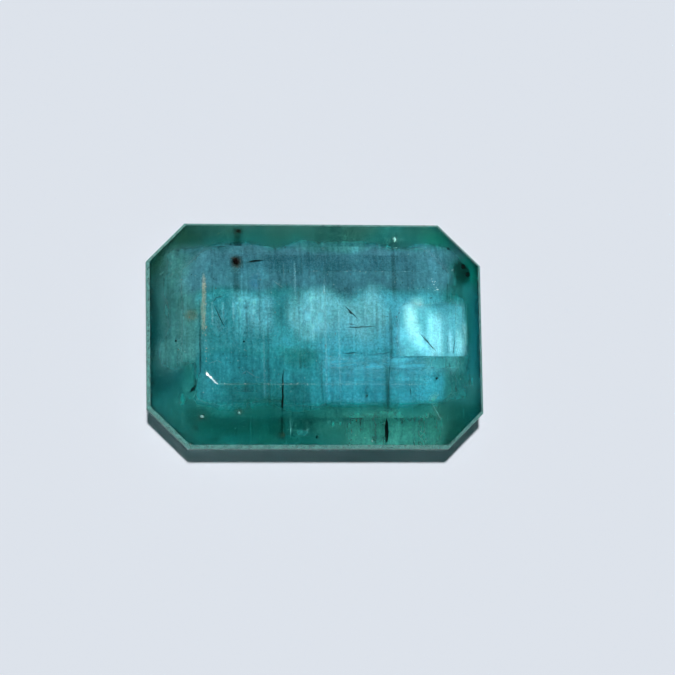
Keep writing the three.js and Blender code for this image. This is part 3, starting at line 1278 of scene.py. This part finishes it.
# Fine lines along the crystal, where growth stopped for a while: place along X, back and
# front end along Y, and cover.
LINE_HALF_WIDTH = 0.07
LINE_STEP = 0.035
LINE_DEPTH = 0.2
LINE_SIDES = ((-0.4, 0.4, 1.2), (-0.8, 0.8, 0.4))  # soft sides and ends, in half sizes
DARK_LINES = (
    # painted shade along the table's left edge
    (-4.8, 1.9, -1.7, 0.5),
    (-4.36, 1.7, -0.1, 0.3),
    (-3.18, 1.6, -2.0, 0.3),
    (-2.85, 1.7, -0.3, 0.35),
    (-2.3, 2.9, -0.3, 0.25),
    (-1.97, 1.6, -4.2, 0.35),
    (-0.64, 2.8, -2.1, 0.4),
    (-0.26, -2.8, -4.3, 0.3),
    (0.24, -0.8, -2.9, 0.35),
    (2.1, -2.0, -2.8, 0.35),
    (2.63, 1.7, -0.2, 0.35),
    # painted shade beside the painted highlight at the end
    (3.82, 1.6, -0.2, 0.35),
    (4.5, 0.6, -0.4, 0.4),
    (5.52, 1.3, -0.8, 0.5),
    (5.9, 0.5, -0.8, 0.6),
)
PALE_LINES = (
    (-4.28, 1.5, 0.4, 0.4),
    (-3.83, 1.5, 0.5, 0.25),
    (-3.4, 1.5, 0.6, 0.35),
    (-2.54, 1.6, 0.5, 0.3),
    (-2.15, 0.8, -3.0, 0.15),
    (-1.1, -3.4, -4.2, 0.2),
    (-0.78, 3.2, 1.6, 0.25),
    (-0.4, -3.5, -4.2, 0.2),
    (-0.06, 1.6, -0.4, 0.3),
    (0.45, 2.8, -2.8, 0.2),
    (1.02, 1.6, -2.8, 0.25),
    (2.15, 1.5, 0.5, 0.35),
)
GROWTH_LINES = {"#0C443C": DARK_LINES, "#9ADCEA": PALE_LINES}


def film_sheet(span_x, span_y, depth, films):
    """The (seen grid, finish) of one sheet of films, most of them painted light or shade."""

    def finish(place):
        total, blend = 0.0, Vector((0, 0, 0))
        for (film_x, film_y), (half_x, half_y), soft, cover, tint in films:
            side = (soft / 2 - 1, 1 - soft / 2, soft)
            away = ((place.x - film_x) / half_x, (place.y - film_y) / half_y)
            share = cover * soft_box(*away, (side, side))
            total = share + total * (1 - share)
            if share > 0:
                blend = blend.lerp(Vector(linear(tint)), share / total)
        return total, blend

    middle = (sum(span_x) / 2, sum(span_y) / 2)
    half = ((span_x[1] - span_x[0]) / 2, (span_y[1] - span_y[0]) / 2)
    return seen_grid(*middle, *half, depth, FILM_STEP), finish


def line_sheet(line_x, back, front, cover, colour, depth):
    """The (seen grid, finish) of one growth line."""
    middle_y, half_y = (back + front) / 2, (back - front) / 2

    def finish(place):
        away = ((place.x - line_x) / LINE_HALF_WIDTH, (place.y - middle_y) / half_y)
        return cover * soft_box(*away, LINE_SIDES), colour

    return seen_grid(line_x, middle_y, LINE_HALF_WIDTH, half_y, depth, LINE_STEP), finish


class EMERALD_OT_healed_cracks(bpy.types.Operator):
    """Cracks that the crystal has healed, with torn films of fluid in them"""

    bl_idname = "emerald.healed_cracks"
    bl_label = "Healed Cracks"

    def execute(self, context):
        for number, (name, row) in enumerate(HEALED_CRACKS.items()):
            span_x, span_y, depth, cover, tint, silk = row
            colour = linear(tint)

            def silky(place):
                return cover * soft_box(place.x, place.y, (span_x, span_y)), colour

            middle = (sum(span_x[:2]) / 2, sum(span_y[:2]) / 2)
            half = ((span[1] - span[0] + span[2]) / 2 for span in (span_x, span_y))
            sheet = seen_grid(*middle, *half, depth + number * SHEET_GAP, CRACK_STEP)
            lay(name, [(sheet, silky)], veil(name + "_fluid", silk))
        return {"FINISHED"}


class EMERALD_OT_stains(bpy.types.Operator):
    """Rust stains round the crystals and along the worn edge, small coloured patches, and painted
    glints
    """

    bl_idname = "emerald.stains"
    bl_label = "Stains"

    def execute(self, context):
        stained = veil("iron_stains_and_painted_glints", STAIN_PATTERNS)
        for number, (name, row) in enumerate(STAINS_AND_GLINTS.items()):
            (stain_x, stain_y), (half_x, half_y), depth, cover, tint = row
            colour = linear(tint)

            def finish(place):
                away = math.hypot((place.x - stain_x) / half_x, (place.y - stain_y) / half_y)
                share = max(1 - away, 0)
                return cover * share * (2 - share), colour

            depth += number * SHEET_GAP
            sheet = seen_grid(stain_x, stain_y, half_x, half_y, depth, STAIN_STEP)
            lay(name, [(sheet, finish)], stained)
        return {"FINISHED"}


class EMERALD_OT_films(bpy.types.Operator):
    """Painted highlights and painted shade on sheets inside the crystal, and the long line's dark
    film
    """

    bl_idname = "emerald.films"
    bl_label = "Fluid Films"

    def execute(self, context):
        fluid = veil("fluid_films_and_painted_light", FILM_PATTERNS)
        # Most sheets carry painted highlights and painted shade; the long line's is a real dark
        # film.
        for name, row in PAINTED_LIGHT_AND_FILM_SHEETS.items():
            lay(name, [film_sheet(*row)], fluid)
        return {"FINISHED"}


class EMERALD_OT_growth_lines(bpy.types.Operator):
    """Fine dark and pale lines along the crystal"""

    bl_idname = "emerald.growth_lines"
    bl_label = "Growth Lines"

    def execute(self, context):
        sheets = []
        for tint, lines in GROWTH_LINES.items():
            for line in lines:
                depth = LINE_DEPTH + len(sheets) * SHEET_GAP
                sheets.append(line_sheet(*line, linear(tint), depth))
        lay("growth_lines", sheets, bpy.data.materials["fluid_films_and_painted_light"])
        return {"FINISHED"}


# ---- Pinpoints ----

PINPOINT_HEIGHTS = (2.6, 3.0, 3.5, 3.95)
PINPOINT_MARGIN = 0.18 * MM
PINPOINT_SEED = 40

# Kinds of fine grain spread through the stone: hex colour, grains on each square metre of
# a layer, and size in millimetres.
PINPOINTS = {
    "pale_pinpoints": ("#A8B8B0", 2.2e6, 0.026),
    "dark_pinpoints": ("#173A34", 2.2e6, 0.045),
    "rust_pinpoints": ("#6A4428", 0.35e6, 0.05),
}


class EMERALD_OT_pinpoints(bpy.types.Operator):
    """Fine grains of crystal and fluid spread through the upper part of the stone"""

    bl_idname = "emerald.pinpoints"
    bl_label = "Pinpoints"

    def execute(self, context):
        source = level_sections("pinpoint_layers", PINPOINT_HEIGHTS, PINPOINT_MARGIN)
        tree = scattered_flakes_tree()
        for step, (name, (colour, density, size)) in enumerate(PINPOINTS.items()):
            values = {
                "Density": density,
                "Size": size * MM,
                "Stretch": (1.0, 1.6, 0.8),
                "Lift": 0.1 * MM,
                "Tilt": 0.5,
                "Seed": context.scene.emerald_flaws.seed + PINPOINT_SEED + step,
                "Material": plain_mineral(name, colour, 0.6),
            }
            grown(name, source, tree, values)
        return {"FINISHED"}


# ---- Worn edges ----

SCUFF_SEED = 20


def strip(start, end, half_width):
    """A flat strip between two points, for grains to be spread over."""
    side = (end - start).cross(UP).normalized() * half_width
    points = [start - side, end - side, end + side, start + side]
    return mesh_from("scuff_strip", points, [(0, 1, 2, 3)])


def table_corners():
    """The table's eight corners, from the front end of its left edge on, counter-clockwise."""
    outline = section(Vector((0, 0, TABLE - 0.001 * MM)), RIGHT, BACK, 0)
    outline.sort(key=lambda p: math.atan2(p.y, p.x))
    return outline


class EMERALD_OT_worn_edges(bpy.types.Operator):
    """White scuffs on the table's edges, where the polish has been knocked off"""

    bl_idname = "emerald.worn_edges"
    bl_label = "Worn Edges"

    def execute(self, context):
        corners = table_corners()
        front_left_end, front_left_side, front_right_side = corners[:3]
        back_right_side, back_left_side, back_left_end = corners[5:]
        back_middle = back_left_side.lerp(back_right_side, 0.4)
        # From, to, half width in millimetres, flakes on each square metre, and their size.
        scuffs = {
            "left": (back_left_end, front_left_end, 0.026, 190e6, 0.03),
            "corner": (front_left_end, front_left_side, 0.008, 110e6, 0.022),
            "front": (front_left_side, front_right_side, 0.014, 160e6, 0.02),
            "specks_right": (under(4.95, 2.62, 0), under(5.2, 1.98, 0), 0.08, 110e6, 0.045),
            "specks_back": (under(3.44, 4.4, 0), under(3.5, 3.8, 0), 0.05, 170e6, 0.035),
            "back": (back_middle, back_right_side, 0.012, 90e6, 0.018),
        }
        tree = scattered_flakes_tree()
        bruised = plain_mineral("bruised_polish", "#E4ECE6", 0.8, spread=0.1)
        stained = plain_mineral("stained_bruise", "#A89C80", 0.8, spread=0.4, grain=0.4)
        for step, (name, (start, end, half_width, density, size)) in enumerate(scuffs.items()):
            values = {
                "Density": density,
                "Size": size * MM,
                "Stretch": (1.0, 1.3, 0.35),
                "Lift": 0.004 * MM,
                "Tilt": 0.6,
                "Seed": context.scene.emerald_flaws.seed + SCUFF_SEED + step,
                "Material": stained if name == "left" else bruised,
            }
            grown("scuffs_" + name, strip(start, end, half_width * MM), tree, values)
        return {"FINISHED"}


# ---- Stage ----

PAPER_HALF = 1.0
PAPER_DROP = 0.01 * MM  # so that it doesn't coincide with the culet

KEY_FROM = (-0.1, 0.03, 1)
KEY_ANGLE = math.radians(2.5)
INNER_FROM = (-0.12, 0.03, 1)
INNER_HEIGHT = 200 * MM
INNER_HALF_ANGLE = math.radians(45)

ROOM_TINT = "#68E8E4"
ROOM_STRENGTH = 0.04

SENSOR = 36  # millimetres
BOUNCES = 24
SHEETS_CROSSED = 64


def hung_lamp(name, kind, direction):
    """A lamp that shines from a direction."""
    lamp = new_object(name, bpy.data.lights.new(name, kind))
    lamp.rotation_euler = direction.to_track_quat("Z", "Y").to_euler()
    return lamp


class EMERALD_OT_stage(bpy.types.Operator):
    """Plain pale paper, a small key light from above, the stone's own lamp, and the camera"""

    bl_idname = "emerald.stage"
    bl_label = "Stage"

    def execute(self, context):
        settings = context.scene.emerald_stage
        scene = context.scene
        self.lay_paper(settings)
        self.hang_key(settings)
        self.hang_inner_key(settings)
        self.light_world(scene)
        self.place_camera(scene)
        scene.view_settings.view_transform = "Standard"
        scene.cycles.max_bounces = BOUNCES
        scene.cycles.transmission_bounces = BOUNCES
        scene.cycles.transparent_max_bounces = SHEETS_CROSSED
        scene.cycles.sample_clamp_indirect = 0
        return {"FINISHED"}

    def lay_paper(self, settings):
        points = [(a * PAPER_HALF, b * PAPER_HALF, -PAPER_DROP) for a, b in SQUARE]
        paper = new_object("paper", mesh_from("paper", points, [(0, 1, 2, 3)]))
        material, _, shader, _ = new_material("uncoated_white_paper")
        shader.inputs["Roughness"].default_value = 0.9
        shader.inputs["Specular IOR Level"].default_value = 0.0
        shader.inputs["Base Color"].default_value = (*settings.paper, 1)
        paper.data.materials.append(material)
        paper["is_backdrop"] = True

    def hang_key(self, settings):
        key = hung_lamp("key", "SUN", Vector(KEY_FROM))
        key.data.energy = settings.key_strength
        key.data.angle = KEY_ANGLE
        key.data.cycles.use_multiple_importance_sampling = False

    def hang_inner_key(self, settings):
        """The same light for the stone's inside: a wider lamp that only the stone takes in."""
        direction = Vector(INNER_FROM).normalized()
        inner = hung_lamp("inner_key", "AREA", direction)
        inner.location = direction * INNER_HEIGHT
        radius = INNER_HEIGHT * math.tan(INNER_HALF_ANGLE)
        irradiance = settings.key_strength * settings.inner_gain
        radiance = irradiance / (math.pi * math.sin(INNER_HALF_ANGLE) ** 2)
        inner.data.shape = "DISK"
        inner.data.size = 2 * radius
        inner.data.energy = radiance * math.pi * math.pi * radius**2
        inner.visible_glossy = False
        lit = bpy.data.collections.new("stone_only")
        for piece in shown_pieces():
            lit.objects.link(piece)
        inner.light_linking.receiver_collection = lit

    def light_world(self, scene):
        scene.world = bpy.data.worlds.new("soft_room")
        scene.world.use_nodes = True
        background = scene.world.node_tree.nodes["Background"]
        background.inputs["Color"].default_value = (*linear(ROOM_TINT), 1)
        background.inputs["Strength"].default_value = ROOM_STRENGTH

    def place_camera(self, scene):
        camera = new_object("camera", bpy.data.cameras.new("camera"))
        camera.data.sensor_width = SENSOR
        camera.data.lens = SENSOR * CAMERA_DISTANCE / FRAME_SIDE
        camera.data.clip_start = 1 * MM
        camera.data.clip_end = 10
        camera.matrix_world = Matrix.Translation(EYE) @ CAMERA_AXES.to_4x4()
        scene.camera = camera


# ---- Add-on ----


class EMERALD_PT_panel(bpy.types.Panel):
    """Lists the steps in the order in which they are run"""

    bl_idname = "EMERALD_PT_panel"
    bl_label = "Step-Cut Emerald"
    bl_space_type = "VIEW_3D"
    bl_region_type = "UI"
    bl_category = "Emerald"

    def draw(self, context):
        for operator in STEPS:
            self.layout.operator(operator.bl_idname)


STEPS = (
    EMERALD_OT_stone,
    EMERALD_OT_girdle,
    EMERALD_OT_haze,
    EMERALD_OT_growth_planes,
    EMERALD_OT_growth_tubes,
    EMERALD_OT_cracks,
    EMERALD_OT_crystals,
    EMERALD_OT_wisps,
    EMERALD_OT_healed_cracks,
    EMERALD_OT_stains,
    EMERALD_OT_films,
    EMERALD_OT_growth_lines,
    EMERALD_OT_pinpoints,
    EMERALD_OT_worn_edges,
    EMERALD_OT_stage,
)

SETTINGS = {
    "emerald_stone": StoneSettings,
    "emerald_flaws": FlawSettings,
    "emerald_stage": StageSettings,
}


def register():
    for group in (*SETTINGS.values(), *STEPS, EMERALD_PT_panel):
        bpy.utils.register_class(group)
    for name, group in SETTINGS.items():
        setattr(bpy.types.Scene, name, PointerProperty(type=group))


def unregister():
    for name in SETTINGS:
        delattr(bpy.types.Scene, name)
    for group in (EMERALD_PT_panel, *reversed(STEPS), *SETTINGS.values()):
        bpy.utils.unregister_class(group)


def main():
    register()
    for operator in STEPS:
        family, action = operator.bl_idname.split(".")
        getattr(getattr(bpy.ops, family), action)()


if __name__ == "__main__":
    main()
